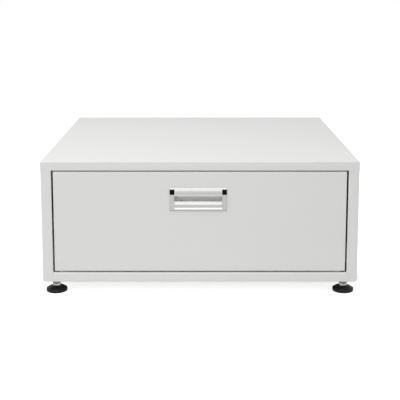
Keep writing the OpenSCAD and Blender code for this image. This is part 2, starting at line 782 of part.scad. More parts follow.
// Section through the recess between the cheeks, in (y, z)
module cup_section() {
    back = cup_y + cup_t;
    top = handle_z1 - frame_lap;
    difference() {
        union() {
            plate(y_face, handle_z0 + frame_lap, y_pan, top);
            plate(y_face, cup_floor - cup_t, back, top, [0, 3, 3, 0]);
        }
        // room behind the grip: step, ramp and a floor that falls to the back
        polygon([[frame_y - 1, ledge_z1], [step_y, ledge_z1], [step_y, step_z1], [ramp_y1, ramp_z1],
                 [cup_y - 4, cup_floor], [cup_y - 3, cup_floor], [cup_y - 3, top - cup_t],
                 [frame_y - 1, top - cup_t]]);
        plate(cup_y - 4, cup_floor, cup_y, top - cup_t, [0, 2, 2, 0]);
    }
    // lower ledge, sloping to the front edge of the frame
    polygon([[step_y + 1, ledge_z1], [step_y, ledge_z1], [frame_y + 0.2, ledge_z0], [frame_y, ledge_z0 - 0.3],
             [frame_y, handle_z0 + frame_bevel], [frame_y + frame_bevel, handle_z0], [y_face, handle_z0],
             [y_face, handle_z0 + frame_lap], [step_y + 1, handle_z0 + frame_lap]]);
    // upper edge, with a bevel that faces up
    polygon([[frame_y, top + 0.2], [frame_y + frame_bevel, handle_z1], [y_face, handle_z1],
             [y_face, top - cup_t], [frame_y, top]]);
}

// Section through a cheek: a solid end block with the frame's edge on it
module cheek_section() {
    plate(y_face, handle_z0 + frame_lap, y_pan - 0.05, handle_z1 - frame_lap);
    polygon([[y_face, handle_z0], [frame_y + frame_bevel, handle_z0], [frame_y, handle_z0 + frame_bevel],
             [frame_y, handle_z1 - frame_bevel], [frame_y + frame_bevel, handle_z1], [y_face, handle_z1]]);
}

module handle_housing()
    color(bright_metal) difference() {
        inner = grip_w / 2;
        outer = handle_w / 2;
        translate([handle_x, 0, 0]) union() {
            along_x(-inner, inner) cup_section();
            for (s = [-1, 1]) {
                x0 = s > 0 ? inner : -outer;
                difference() {
                    along_x(x0, x0 + cheek_w) cheek_section();
                    // behind the face the cheek stays inside the cut-out
                    block(s > 0 ? outer - frame_lap : -outer - 1, y_face, handle_z0 - 1,
                          s > 0 ? outer + 1 : -outer + frame_lap, y_pan + 1, handle_z1 + 1);
                }
                // end wall of the recess behind the cheek
                along_x(s > 0 ? inner : -inner - cup_t, s > 0 ? inner + cup_t : -inner)
                    plate(y_pan - 1, cup_floor - cup_t, cup_y + cup_t, handle_z1 - frame_lap, [0, 3, 3, 0]);
            }
        }
        for (s = [-1, 1]) {
            x = handle_screw_x(s);
            // seat and hole for the end cap, hole for the grip's pin, and blind hole for the screw
            block(x - cheek_w / 2 - (s < 0 ? 1 : 0), frame_y - 1, cap_z0,
                  x + cheek_w / 2 + (s > 0 ? 1 : 0), y_face, cap_z1);
            bar_y(x, y_face - 0.1, cap_z, peg_r + hole_play, peg_l + 0.3);
            bar_x(handle_x + s * grip_w / 2 - (s > 0 ? 0.5 : pin_l + 0.2), pin_y, grip_pin_z,
                  pin_r + hole_play, pin_l + 0.7);
            bar_y(x, y_pan - handle_screw_in - 0.5, handle_screw_z,
                  handle_screw_d / 2 + hole_play, handle_screw_in + 1.5);
        }
    }

grip_play = 0.15;                            // room between the grip and the frame
grip_top = handle_z1 - frame_lap;            // underside of the frame's upper edge, at its front
grip_z0 = handle_z1 - grip_h;
grip_pin_z = grip_top - cup_t - 4;
lug_t = 2.5;
lug_h = 6;

// Curved bar that the fingers hook behind, with a lug and a pin at each end
module handle_grip()
    color(bright_metal) translate([handle_x, 0, 0]) {
        half = grip_w / 2 - grip_play;
        along_x(-half, half) {
            axis_y = y_face - grip_out + grip_r;
            difference() {
                translate([axis_y, grip_z0]) circle(grip_r, $fn = 128);
                translate([axis_y, grip_z0]) circle(grip_r - grip_t, $fn = 128);
                translate([axis_y - grip_r - 1, grip_z0 - 2 * grip_r]) square([3 * grip_r, 2 * grip_r]);
                // upper edge, which follows the underside of the frame and of the recess
                polygon([[y_face - 2 * frame_t, grip_top + cup_t - grip_play],
                         [y_face, grip_top - cup_t - grip_play],
                         [y_face + grip_r, grip_top - cup_t - grip_play],
                         [y_face + grip_r, grip_top + grip_r], [y_face - 2 * frame_t, grip_top + grip_r]]);
                translate([y_face + 4, grip_z0 - 1]) square([3 * grip_r, 3 * grip_r]);
            }
        }
        for (s = [-1, 1]) {
            x0 = s > 0 ? half - lug_t : -half;
            block(x0, y_face - 2.7, grip_pin_z - lug_h / 2,
                  x0 + lug_t, pin_y + pin_r + 0.8, grip_pin_z + lug_h / 2);
            bar_x(s > 0 ? half - 1 : -half - grip_play - pin_l, pin_y, grip_pin_z,
                  pin_r, pin_l + grip_play + 1);
        }
    }

module handle_cap(side)
    color(black_plastic) {
        x = handle_screw_x(side);
        half = cheek_w / 2 - 0.1;
        block(x - half, frame_y, cap_z0 + 0.05, x + half, y_face - 0.02, cap_z1 - 0.05);
        bar_y(x, y_face - 0.1, cap_z, peg_r, peg_l);
    }

module handle_screws()
    color(zinc)
        for (s = [-1, 1]) {
            bar_y(handle_screw_x(s), y_pan - handle_screw_in, handle_screw_z,
                  handle_screw_d / 2, handle_screw_in + drawer_sheet);
            bar_y(handle_screw_x(s), y_liner, handle_screw_z, handle_screw_d * 0.9, handle_head_h);
        }

top_panel();
side_panel(-1);  // left_side_panel
side_panel(1);  // right_side_panel
back_panel();
front_bottom_rail();
rear_bottom_rail();
top_brace(-body_d / 2 + brace_inset);  // front_top_brace
top_brace(body_d / 2 - brace_inset);  // rear_top_brace
foot_bracket(-1, -1);  // foot_bracket_front_left
foot_bracket(1, -1);  // foot_bracket_front_right
foot_bracket(-1, 1);  // foot_bracket_rear_left
foot_bracket(1, 1);  // foot_bracket_rear_right
foot_weld_nuts();
foot_lock_nuts();
slide_spacer(-1);  // left_slide_spacer
slide_spacer(1);  // right_slide_spacer
slide_outer(-1);  // left_slide_outer
slide_outer(1);  // right_slide_outer
outer_slide_screws();
slide_bumpers();
back_panel_screws();
slide_middle(-1);  // left_slide_middle
slide_middle(1);  // right_slide_middle
ball_cage(-1, outer_cage_u, outer_ball_v, ball_outer_d);  // left_outer_ball_cage
ball_cage(1, outer_cage_u, outer_ball_v, ball_outer_d);  // right_outer_ball_cage
slide_balls(outer_ball_v, ball_outer_d);  // outer_slide_balls
ball_cage(-1, inner_cage_u, inner_ball_v, ball_inner_d);  // left_inner_ball_cage
ball_cage(1, inner_cage_u, inner_ball_v, ball_inner_d);  // right_inner_ball_cage
slide_balls(inner_ball_v, ball_inner_d);  // inner_slide_balls
slide_inner(-1);  // left_slide_inner
slide_inner(1);  // right_slide_inner
inner_slide_screws();
drawer_front();
drawer_front_liner();
drawer_bottom();
drawer_side(-1);  // drawer_left_side
drawer_side(1);  // drawer_right_side
drawer_back();
drawer_rivets();
front_liner_screws();
handle_housing();
handle_grip();
handle_cap(-1);  // handle_left_cap
handle_cap(1);  // handle_right_cap
handle_screws();
foot_pad(-1, -1);  // foot_pad_front_left
foot_pad(1, -1);  // foot_pad_front_right
foot_pad(-1, 1);  // foot_pad_rear_left
foot_pad(1, 1);  // foot_pad_rear_right
foot_stud(-1, -1);  // foot_stud_front_left
foot_stud(1, -1);  // foot_stud_front_right
foot_stud(-1, 1);  // foot_stud_rear_left
foot_stud(1, 1);  // foot_stud_rear_right
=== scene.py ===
import bmesh
import bpy
import json
import math
from mathutils import Matrix, Vector


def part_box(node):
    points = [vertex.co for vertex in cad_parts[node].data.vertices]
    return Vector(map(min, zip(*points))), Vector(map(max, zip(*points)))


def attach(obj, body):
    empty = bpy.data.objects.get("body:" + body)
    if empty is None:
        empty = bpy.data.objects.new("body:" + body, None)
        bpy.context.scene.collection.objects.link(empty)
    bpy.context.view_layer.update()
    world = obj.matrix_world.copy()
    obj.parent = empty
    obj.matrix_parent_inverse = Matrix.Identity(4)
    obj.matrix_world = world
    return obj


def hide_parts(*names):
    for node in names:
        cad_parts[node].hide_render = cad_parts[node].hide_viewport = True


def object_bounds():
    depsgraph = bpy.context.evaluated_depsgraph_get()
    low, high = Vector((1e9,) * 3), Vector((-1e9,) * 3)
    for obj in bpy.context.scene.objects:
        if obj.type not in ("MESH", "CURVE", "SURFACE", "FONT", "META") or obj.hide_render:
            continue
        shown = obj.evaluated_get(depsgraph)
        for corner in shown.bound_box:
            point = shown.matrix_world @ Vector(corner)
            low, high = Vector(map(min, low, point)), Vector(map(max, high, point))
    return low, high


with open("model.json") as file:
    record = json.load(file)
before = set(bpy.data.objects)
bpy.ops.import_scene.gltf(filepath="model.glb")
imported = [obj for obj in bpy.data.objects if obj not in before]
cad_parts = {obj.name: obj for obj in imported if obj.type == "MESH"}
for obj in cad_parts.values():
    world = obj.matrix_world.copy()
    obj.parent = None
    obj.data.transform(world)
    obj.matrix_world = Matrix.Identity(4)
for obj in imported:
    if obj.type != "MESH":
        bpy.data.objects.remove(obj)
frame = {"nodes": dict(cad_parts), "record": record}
nodes = frame["nodes"]
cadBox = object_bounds()
bodyOf = {node: body for body, members in frame["record"]["behaviour"]["bodies"].items() for node in members}
slotOf = {part["node"]: part["material_slot"] for part in frame["record"]["subparts"]}
mm = 0.001
print("frame loaded:", len(nodes), "nodes")

# the camera stands in front of the drawer, a little above the top, and looks slightly down
camera = {"x": -0.0022, "y": -1.946, "z": 0.582, "down": 8.49, "lens": 82.0, "shiftX": 0.0032, "shiftY": -0.2}


def placeCamera():
    data = bpy.data.cameras.new("camera")
    data.lens = camera["lens"]
    data.shift_x = camera["shiftX"]
    data.shift_y = camera["shiftY"]
    eye = bpy.data.objects.new("camera", data)
    eye.location = (camera["x"], camera["y"], camera["z"])
    eye.rotation_euler = (math.radians(90 - camera["down"]), 0, 0)
    bpy.context.collection.objects.link(eye)
    bpy.context.scene.camera = eye


placeCamera()
print("camera placed")


# An output of a shader node. Sums and products of wires and numbers add Math nodes.
class Wire:
    def __init__(self, shading, socket):
        self.shading = shading
        self.socket = socket

    def __add__(self, other):
        return self.shading.calc("ADD", self, other)

    def __radd__(self, other):
        return self.shading.calc("ADD", other, self)

    def __sub__(self, other):
        return self.shading.calc("SUBTRACT", self, other)

    def __rsub__(self, other):
        return self.shading.calc("SUBTRACT", other, self)

    def __mul__(self, other):
        return self.shading.calc("MULTIPLY", self, other)

    def __rmul__(self, other):
        return self.shading.calc("MULTIPLY", other, self)

    def __pow__(self, other):
        return self.shading.calc("POWER", self, other)

    def __abs__(self):
        return self.shading.calc("ABSOLUTE", self, 0)


# The nodes of a material or of the world
class Shading:
    def __init__(self, tree):
        self.tree = tree

    def plug(self, socket, value):
        if isinstance(value, Wire):
            self.tree.links.new(value.socket, socket)
        elif isinstance(value, tuple) and socket.type == "RGBA":
            socket.default_value = (*value, 1)
        else:
            socket.default_value = value

    def add(self, kind, settings, inputs, out=0):  # a node with its settings and what goes into its sockets
        node = self.tree.nodes.new(kind)
        for key, value in settings.items():
            setattr(node, key, value)
        for key, value in inputs.items():
            self.plug(node.inputs[key], value)
        return Wire(self, node.outputs[out])

    def calc(self, operation, a, b):
        return self.add("ShaderNodeMath", {"operation": operation}, {0: a, 1: b})


# A material: one main shader, with nodes that vary it over the surface
class Finish(Shading):
    def __init__(self, name, surface):
        self.material = bpy.data.materials.new(name)
        self.material.use_nodes = True
        super().__init__(self.material.node_tree)
        self.shader = self.tree.nodes["Principled BSDF"]
        self.normal = None
        self.coat(surface)

    def coat(self, surface):
        for socket, value in surface.items():
            self.plug(self.shader.inputs[socket], value)

    def place(self, stretch=(1, 1, 1)):  # position on the object in metres, stretched along an axis
        spot = self.add("ShaderNodeTexCoord", {}, {}, "Object")
        return self.add("ShaderNodeMapping", {}, {"Vector": spot, "Scale": stretch})

    def along(self, axis):  # position on the object along X, Y or Z
        return self.add("ShaderNodeSeparateXYZ", {}, {0: self.place()}, axis)

    def upward(self):  # 1 on what faces straight up, 0 on upright faces
        facing = self.add("ShaderNodeNewGeometry", {}, {}, "Normal")
        return self.add("ShaderNodeSeparateXYZ", {}, {0: facing}, 2)

    def noise(self, size, detail, stretch=(1, 1, 1)):  # size of a patch in metres
        spot = self.place(stretch)
        return self.add("ShaderNodeTexNoise", {}, {"Vector": spot, "Scale": 1 / size, "Detail": detail})

    def crystals(self, size):  # one value in each cell
        spot = self.place()
        cells = self.add("ShaderNodeTexVoronoi", {}, {"Vector": spot, "Scale": 1 / size}, "Color")
        return self.add("ShaderNodeSeparateColor", {}, {0: cells})

    def nearest(self, value, step):  # distance from the nearest of marks that are a step apart
        return abs(self.add("ShaderNodeMath", {"operation": "WRAP"}, {0: value, 1: step / 2, 2: -step / 2}))

    def ramp(self, value, low, high):  # 0 below low, 1 above high, smooth between them
        return self.add("ShaderNodeMapRange", {"interpolation_type": "SMOOTHSTEP"},
                        {"Value": value, "From Min": low, "From Max": high})

    def tint(self, shade, amount):  # a colour made lighter or darker by a wire around 1
        return self.add("ShaderNodeVectorMath", {"operation": "SCALE"}, {0: shade, "Scale": amount})

    def mix(self, part, a, b):  # colour a where part is 0, colour b where it is 1
        return self.add("ShaderNodeMix", {"data_type": "RGBA"}, {0: part, 6: a, 7: b}, 2)

    def relief(self, height, depth):  # adds a bump on top of those before it
        inputs = {"Height": height, "Distance": depth, "Strength": 1.0}
        if self.normal:
            inputs["Normal"] = self.normal
        self.normal = self.add("ShaderNodeBump", {}, inputs)
        self.plug(self.shader.inputs["Normal"], self.normal)


# fine-textured powder coat: an orange-peel skin over sheet that is never quite flat
paintLook = {"cabinet": (0.84, 0.84, 0.83), "inside": (0.80, 0.80, 0.79), "rough": 0.44,
             "cloudSize": 90 * mm, "speckSize": 0.5 * mm, "dentSize": 240 * mm, "dentDepth": 0.25 * mm,
             "peelSize": 1.3 * mm, "peelDepth": 0.02 * mm, "insidePeel": 0.6}


def powderCoat(name, shade, peel=1.0):
    f = Finish(name, {})
    cloud = f.noise(paintLook["cloudSize"], 3)
    speck = f.noise(paintLook["speckSize"], 1)
    f.coat({"Base Color": f.tint(shade, 0.985 + 0.02 * cloud + 0.012 * speck),
            "Roughness": paintLook["rough"] + 0.08 * (cloud - 0.5) + 0.05 * (speck - 0.5)})
    f.relief(f.noise(paintLook["dentSize"], 1), paintLook["dentDepth"])
    f.relief(f.noise(paintLook["peelSize"], 2), paintLook["peelDepth"] * peel)
    return f


# side panels: faint round marks where the slide spacer is spot-welded behind the paint
weldLook = {"spacing": 75 * mm, "row": 34 * mm, "radius": 2.6 * mm, "flat": 0.4, "depth": 0.06 * mm}


def spotWelded(f, low, high):  # low and high are the corners of the spacer
    middle = (low + high) / 2
    halfLength = (high.y - low.y) / 2
    fromMiddle = f.along(1) - middle.y
    alongMark = f.nearest(fromMiddle, weldLook["spacing"])
    upMark = abs(abs(f.along(2) - middle.z) - weldLook["row"])
    away = (alongMark * alongMark + upMark * upMark) ** 0.5
    within = 1 - f.ramp(abs(fromMiddle), halfLength - 4 * mm, halfLength - 2 * mm)
    dish = f.ramp(away, weldLook["radius"] * weldLook["flat"], weldLook["radius"])
    f.relief(1 - within + within * dish, weldLook["depth"])
    return f


# bright zinc plate: fine crystals, rolling marks along the sheet or rod, soft stains; the stud and nut shades
# are darker copies of the sheet's zinc, painted shade for the feet under the cabinet
zincLook = {"sheet": (0.50, 0.51, 0.52), "stud": (0.30, 0.305, 0.31), "nut": (0.135, 0.137, 0.14),
            "sheetRough": 0.3, "studRough": 0.2, "nutRough": 0.18,
            "alongSheet": (1, 0.06, 1), "alongRod": (1, 1, 0.2),
            "stainSize": 30 * mm, "crystalSize": 2.2 * mm, "markSize": 0.5 * mm, "markDepth": 0.012 * mm}


def zincPlate(name, shade, rough, stretch):
    f = Finish(name, {"Metallic": 1.0})
    stain = f.noise(zincLook["stainSize"], 4)
    crystal = f.crystals(zincLook["crystalSize"])
    rolled = f.noise(zincLook["markSize"], 2, stretch)
    f.coat({"Base Color": f.tint(shade, 0.92 + 0.1 * stain + 0.05 * crystal),
            "Roughness": rough + 0.08 * (stain - 0.5) + 0.05 * (crystal - 0.5) + 0.08 * (rolled - 0.5)})
    f.relief(rolled, zincLook["markDepth"])
    return f


# yellow zinc on the ball cages: patches that lean to gold and to green
yellowLook = {"gold": (0.74, 0.66, 0.46), "green": (0.64, 0.66, 0.58), "patchSize": 12 * mm, "rough": 0.3,
              "markSize": 0.4 * mm, "markDepth": 0.01 * mm, "alongCage": (1, 0.1, 1)}


def yellowZinc(name):
    f = Finish(name, {"Metallic": 1.0})
    patch = f.noise(yellowLook["patchSize"], 3)
    f.coat({"Base Color": f.mix(patch, yellowLook["gold"], yellowLook["green"]),
            "Roughness": yellowLook["rough"] + 0.12 * patch})
    f.relief(f.noise(yellowLook["markSize"], 2, yellowLook["alongCage"]), yellowLook["markDepth"])
    return f


# satin metal of the handle, brushed from end to end; the recess behind the face is matt, and painted paler as
# painted light in its shade
satinLook = {"grip": (0.50, 0.50, 0.495), "frame": (0.385, 0.385, 0.38), "lightenedRecess": (0.84, 0.84, 0.83),
             "lightenedDepth": 6.3 * mm, "lightenedFade": 1 * mm, "rough": 0.3, "brushSize": 0.22 * mm,
             "brushDepth": 0.006 * mm, "endToEnd": (0.02, 1, 1), "hazeSize": 20 * mm}


def satinMetal(name, polished, lightenedFrom=1.0):  # lightenedFrom is the y from which the metal is matt and painted paler, painted light in the recess
    f = Finish(name, {"Metallic": 1.0})
    brushed = f.noise(satinLook["brushSize"], 3, satinLook["endToEnd"])
    hazy = f.noise(satinLook["hazeSize"], 2)
    # painted light: behind this depth the base colour turns paler to brighten the shaded recess; the
    # roughness rises there too
    lightenedRecess = f.ramp(f.along(1), lightenedFrom, lightenedFrom + satinLook["lightenedFade"])
    shade = f.mix(lightenedRecess, polished, satinLook["lightenedRecess"])
    f.coat({"Base Color": f.tint(shade, 0.955 + 0.05 * brushed + 0.02 * hazy),
            "Roughness": satinLook["rough"] + 0.25 * lightenedRecess + 0.1 * (brushed - 0.5) + 0.05 * (hazy - 0.5)})
    f.relief(brushed, satinLook["brushDepth"])
    return f


# black mouldings: spark-eroded grain, and a little dust on what faces up
blackLook = {
    "cap": {"shade": (0.003, 0.003, 0.003), "rough": 0.5, "grainSize": 0.45 * mm, "dust": 0.0, "shine": 0.05},
    "pad": {"shade": (0.007, 0.007, 0.007), "rough": 0.45, "grainSize": 0.7 * mm, "dust": 0.05, "shine": 0.2},
    "bumper": {"shade": (0.02, 0.02, 0.02), "rough": 0.82, "grainSize": 0.3 * mm, "dust": 0.3, "shine": 0.22},
    "dustShade": (0.36, 0.35, 0.34), "dustSize": 4 * mm, "flowSize": 12 * mm, "grainDepth": 0.02 * mm}


def blackPlastic(name, kind):
    look = blackLook[kind]
    f = Finish(name, {"Specular IOR Level": look["shine"]})
    grain = f.noise(look["grainSize"], 2)
    flow = f.noise(blackLook["flowSize"], 2)
    ink = f.tint(look["shade"], 0.9 + 0.2 * flow)
    if look["dust"]:
        patches = f.ramp(f.noise(blackLook["dustSize"], 4), 0.35, 0.75)
        settled = look["dust"] * f.ramp(f.upward(), 0.4, 1.0) * patches
        ink = f.mix(settled, ink, blackLook["dustShade"])
    f.coat({"Base Color": ink, "Roughness": look["rough"] + 0.12 * (grain - 0.5) + 0.08 * (flow - 0.5)})
    f.relief(grain, blackLook["grainDepth"])
    return f


ballLook = {"shade": (0.80, 0.80, 0.81), "rough": 0.07, "scratchSize": 0.3 * mm, "alongSlide": (1, 0.2, 1)}


def bearingSteel(name):
    f = Finish(name, {"Metallic": 1.0})
    scratch = f.noise(ballLook["scratchSize"], 3, ballLook["alongSlide"])
    f.coat({"Base Color": f.tint(ballLook["shade"], 0.95 + 0.06 * scratch),
            "Roughness": ballLook["rough"] + 0.1 * scratch})
    return f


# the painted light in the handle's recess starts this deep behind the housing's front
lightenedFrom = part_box("handle_housing")[0].y + satinLook["lightenedDepth"]
finishes = {
    "cabinet_paint": powderCoat("cabinet powder coat", paintLook["cabinet"]),
    "side_paint": spotWelded(powderCoat("side panel powder coat", paintLook["cabinet"]),
                             *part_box("left_slide_spacer")),
    "drawer_paint": powderCoat("drawer front powder coat", paintLook["cabinet"]),
    "inner_paint": powderCoat("drawer box powder coat", paintLook["inside"], paintLook["insidePeel"]),
    "zinc_steel": zincPlate("zinc plate", zincLook["sheet"], zincLook["sheetRough"], zincLook["alongSheet"]),
    # the feet's zinc is painted darker: painted shade and dark reflections under the cabinet
    "stud_steel": zincPlate("stud zinc plate in painted shade", zincLook["stud"], zincLook["studRough"], zincLook["alongRod"]),
    "nut_steel": zincPlate("nut zinc plate in painted shade", zincLook["nut"], zincLook["nutRough"], zincLook["alongRod"]),
    "handle_metal": satinMetal("satin grip", satinLook["grip"]),
    "recess_metal": satinMetal("satin frame", satinLook["frame"], lightenedFrom),
    "cap_plastic": blackPlastic("black end cap", "cap"),
    "pad_plastic": blackPlastic("black pad plastic", "pad"),
    "bumper_rubber": blackPlastic("black rubber", "bumper"),
    "ball_steel": bearingSteel("bearing steel"),
    "cage_steel": yellowZinc("yellow zinc"),
}

for node, slot in slotOf.items():  # the CAD nodes keep their shape and get their finish
    mesh = nodes[node].data
    mesh.materials.clear()
    mesh.materials.append(finishes["side_paint" if node.endswith("side_panel") else slot].material)
print("finishes:", len(finishes))


# The piece takes the place of a CAD node: same body, and the node's own finish unless another is named
def standFor(piece, node, finish=None):
    piece.data.materials.append(finishes[finish or slotOf[node]].material)
    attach(piece, bodyOf[node])
    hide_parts(node)


def meshObject(name, bm, turn=35):  # closes a bmesh into an object; edges that turn more degrees stay sharp
    bmesh.ops.recalc_face_normals(bm, faces=bm.faces)
    for face in bm.faces:
        face.smooth = True
    for edge in bm.edges:
        edge.smooth = edge.is_manifold and edge.calc_face_angle(0) < math.radians(turn)
    mesh = bpy.data.meshes.new(name)
    bm.to_mesh(mesh)
    bm.free()
    piece = bpy.data.objects.new(name, mesh)
    bpy.context.collection.objects.link(piece)
    return piece


def bake(piece):  # applies the piece's modifiers
    graph = bpy.context.evaluated_depsgraph_get()
    mesh = bpy.data.meshes.new_from_object(piece.evaluated_get(graph))
    piece.modifiers.clear()
    piece.data = mesh
    return piece


def breakEdges(piece, width, turn, segments):
    bevel = piece.modifiers.new("edges", "BEVEL")
    bevel.width = width
    bevel.segments = segments
    bevel.limit_method = "ANGLE"
    bevel.angle_limit = math.radians(turn)
    bevel.harden_normals = segments > 1  # a single cut stays flat
    return bake(piece)


def cut(piece, tool):  # takes the tool's shape out of the piece
    cutter = piece.modifiers.new("cut", "BOOLEAN")
    cutter.object = tool
    cutter.solver = "EXACT"
    bake(piece)
    bpy.data.objects.remove(tool)
    return piece


def takeMesh(piece):  # keeps the mesh and drops its object
    mesh = piece.data
    bpy.data.objects.remove(piece)
    return mesh


def addTo(bm, other):  # moves another bmesh's solid into this one
    bmesh.ops.recalc_face_normals(other, faces=other.faces)
    spare = bpy.data.meshes.new("spare")
    other.to_mesh(spare)
    other.free()
    bm.from_mesh(spare)
    bpy.data.meshes.remove(spare)


# Boxes of the separate solids in one CAD node
def solidsOf(node):
    bm = bmesh.new()
    bm.from_mesh(nodes[node].data)
    bmesh.ops.remove_doubles(bm, verts=bm.verts, dist=1e-6)
    seen = set()
    boxes = []
    for start in bm.verts:
        if start in seen:
            continue
        seen.add(start)
        group = [start]
        for vert in group:
            for edge in vert.link_edges:
                other = edge.other_vert(vert)
                if other not in seen:
                    seen.add(other)
                    group.append(other)
        low = Vector(min(v.co[i] for v in group) for i in range(3))
        high = Vector(max(v.co[i] for v in group) for i in range(3))
        boxes.append((low, high))
    bm.free()
    return boxes


# Rings of (radius, height) round an upright axis. A radius may be a function of the angle, and one of 0
# closes the shape on the axis; closed links the last ring to the first.
def turned(bm, rings, centre, sides, closed=False):
    angles = [2 * math.pi * i / sides for i in range(sides)]
    made = []
    for radius, height in rings:
        reach = [radius(a) if callable(radius) else radius for a in angles]
        if max(reach) < 1e-7:
            made.append([bm.verts.new((centre.x, centre.y, height))])
        else:
            made.append([bm.verts.new((centre.x + r * math.cos(a), centre.y + r * math.sin(a), height))
                         for r, a in zip(reach, angles)])
    for lower, upper in zip(made, made[1:] + made[:1] if closed else made[1:]):
        for i in range(sides):
            j = (i + 1) % sides
            below = (lower[i % len(lower)], lower[j % len(lower)])
            above = (upper[j % len(upper)], upper[i % len(upper)])
            bm.faces.new(list(dict.fromkeys(below + above)))


def arc(centreR, centreZ, radius, start, end, steps):  # points of an arc in degrees
    angles = [math.radians(start + (end - start) * i / steps) for i in range(steps + 1)]
    return [(centreR + radius * math.cos(a), centreZ + radius * math.sin(a)) for a in angles]


def between(bm, first, last):  # a solid between two rings with as many points
    for i in range(len(first)):
        j = (i + 1) % len(first)
        bm.faces.new((first[i], first[j], last[j], last[i]))
    bm.faces.new(first)
    bm.faces.new(last)


# An outline of (u, v) pushed from start to end; toWorld turns (u, v, w) into a point
def pushed(bm, outline, start, end, toWorld):
    between(bm, *[[bm.verts.new(toWorld(u, v, w)) for u, v in outline] for w in (start, end)])


def rounded(corners, steps=5):  # corners are (u, v, radius); each radius becomes an arc
    points = []
    count = len(corners)
    for i, (u, v, radius) in enumerate(corners):
        here = Vector((u, v))
        if radius <= 0:
            points.append((u, v))
            continue
        back = (Vector(corners[i - 1][:2]) - here).normalized()
        ahead = (Vector(corners[(i + 1) % count][:2]) - here).normalized()
        half = back.angle(ahead) / 2
        reach = radius / math.tan(half)
        centre = here + (back + ahead).normalized() * radius / math.sin(half)
        first = here + back * reach - centre
        last = here + ahead * reach - centre
        swing = first.angle_signed(last)
        for k in range(steps + 1):
            t = -swing * k / steps
            points.append((centre.x + first.x * math.cos(t) - first.y * math.sin(t),
                           centre.y + first.x * math.sin(t) + first.y * math.cos(t)))
    return points


print("tools ready")

# pan-head screws with a cross recess, and pulled rivets; sizes as shares of the head or of the shank's radius
screwLook = {"sides": 28, "pitch": 0.45, "root": 0.84, "tip": 0.6, "shank": 0.5,
             "crossLength": 0.56, "crossWidth": 0.17, "crossDepth": 0.85, "taper": 0.6,
             "rivetHole": 0.3, "bulge": 1.15, "turn": 0.7}


def cross(length, width):  # outline of a plus sign
    return [(length, -width), (length, width), (width, width), (width, length), (-width, length),
            (-width, width), (-length, width), (-length, -width), (-width, -width), (-width, -length),
            (width, -length), (width, -width)]


def dome(radius, height, angles):  # outline of a head's rounded top, which ends below z = 0
    return [(radius * math.cos(t), -height * (1 - math.sin(t))) for t in angles]


def screwMesh(length, headRadius, headHeight, shank):  # the head's top is at z = 0 and the shank points down
    r = headRadius * shank
    pitch = screwLook["pitch"] * r
    tip = screwLook["tip"] * r
    outline = [(0, -length), (0.55 * r, -length), (r, tip - length)]
    height = tip - length + pitch
    while height < -headHeight - 1.5 * pitch:
        outline += [(screwLook["root"] * r, height - pitch / 2), (r, height)]
        height += pitch
    outline += [(0.9 * r, -headHeight), (0.97 * headRadius, -headHeight), (headRadius, -0.88 * headHeight)]
    outline += dome(headRadius, 0.7 * headHeight, (0.25, 0.6, 0.95, 1.25))
    bm = bmesh.new()
    turned(bm, outline + [(0, 0)], Vector(), screwLook["sides"])
    piece = meshObject("screw", bm)
    arms = cross(headRadius * screwLook["crossLength"], headRadius * screwLook["crossWidth"])
    recess = bmesh.new()
    levels = ((screwLook["taper"], -headHeight * screwLook["crossDepth"]), (1, mm))
    between(recess, *[[recess.verts.new((u * s, v * s, z)) for u, v in arms] for s, z in levels])
    return takeMesh(cut(piece, meshObject("cross", recess)))


def rivetMesh(length, headRadius, headHeight, shank):  # a low dome with the mandrel's hole
    r = headRadius * shank
    hole = screwLook["rivetHole"] * headRadius
    outline = [(0, -length), (0.7 * r, -length), (screwLook["bulge"] * r, 0.5 * r - length), (r, r - length)]
    outline += [(r, -headHeight), (0.98 * headRadius, -headHeight), (headRadius, -0.85 * headHeight)]
    outline += dome(headRadius, 0.85 * headHeight, (0.3, 0.6, 0.9, 1.15))
    outline += [(1.1 * hole, 0), (hole, -0.1 * headHeight), (hole, -0.8 * headHeight), (0, -0.8 * headHeight)]
    bm = bmesh.new()
    turned(bm, outline, Vector(), screwLook["sides"])
    return takeMesh(meshObject("rivet", bm))


# One screw or rivet for every solid of the node; heads point the way that headWay gives
def fasteners(node, headWay, headHeight, shank=screwLook["shank"], shape=screwMesh):
    bm = bmesh.new()
    made = {}
    for count, (low, high) in enumerate(solidsOf(node)):
        centre = (low + high) / 2
        way = Vector(headWay(centre, high - low))
        length = abs((high - low).dot(way))
        across = max(abs((high - low)[i]) for i in range(3) if abs(way[i]) < 0.5)
        key = round(length, 5)
        if key not in made:
            made[key] = shape(length, across / 2, headHeight, shank)
        turn = Matrix.Rotation(screwLook["turn"] * count, 4, "Z")  # no two crosses stand alike
        upright = way.to_track_quat("Z", "Y").to_matrix().to_4x4()
        one = made[key].copy()
        one.transform(Matrix.Translation(centre + way * length / 2) @ upright @ turn)
        bm.from_mesh(one)
        bpy.data.meshes.remove(one)
    standFor(meshObject(node + "_detailed", bm), node)


def inward(centre, size):
    return (-math.copysign(1, centre.x), 0, 0)


def outward(centre, size):
    return (math.copysign(1, centre.x), 0, 0)


def rearward(centre, size):
    return (0, 1, 0)


def sideOrRear(centre, size):  # rivets through the drawer's sides, and those through its back
    return outward(centre, size) if size.x > size.z else rearward(centre, size)


fasteners("back_panel_screws", rearward, 1.6 * mm)
fasteners("front_liner_screws", rearward, 0.8 * mm, shank=0.55)
fasteners("handle_screws", rearward, 1.8 * mm, shank=0.55)
fasteners("outer_slide_screws", inward, 1.2 * mm)
fasteners("inner_slide_screws", outward, 1.5 * mm)
fasteners("drawer_rivets", sideOrRear, 0.8 * mm, shape=rivetMesh)
print("fasteners done")

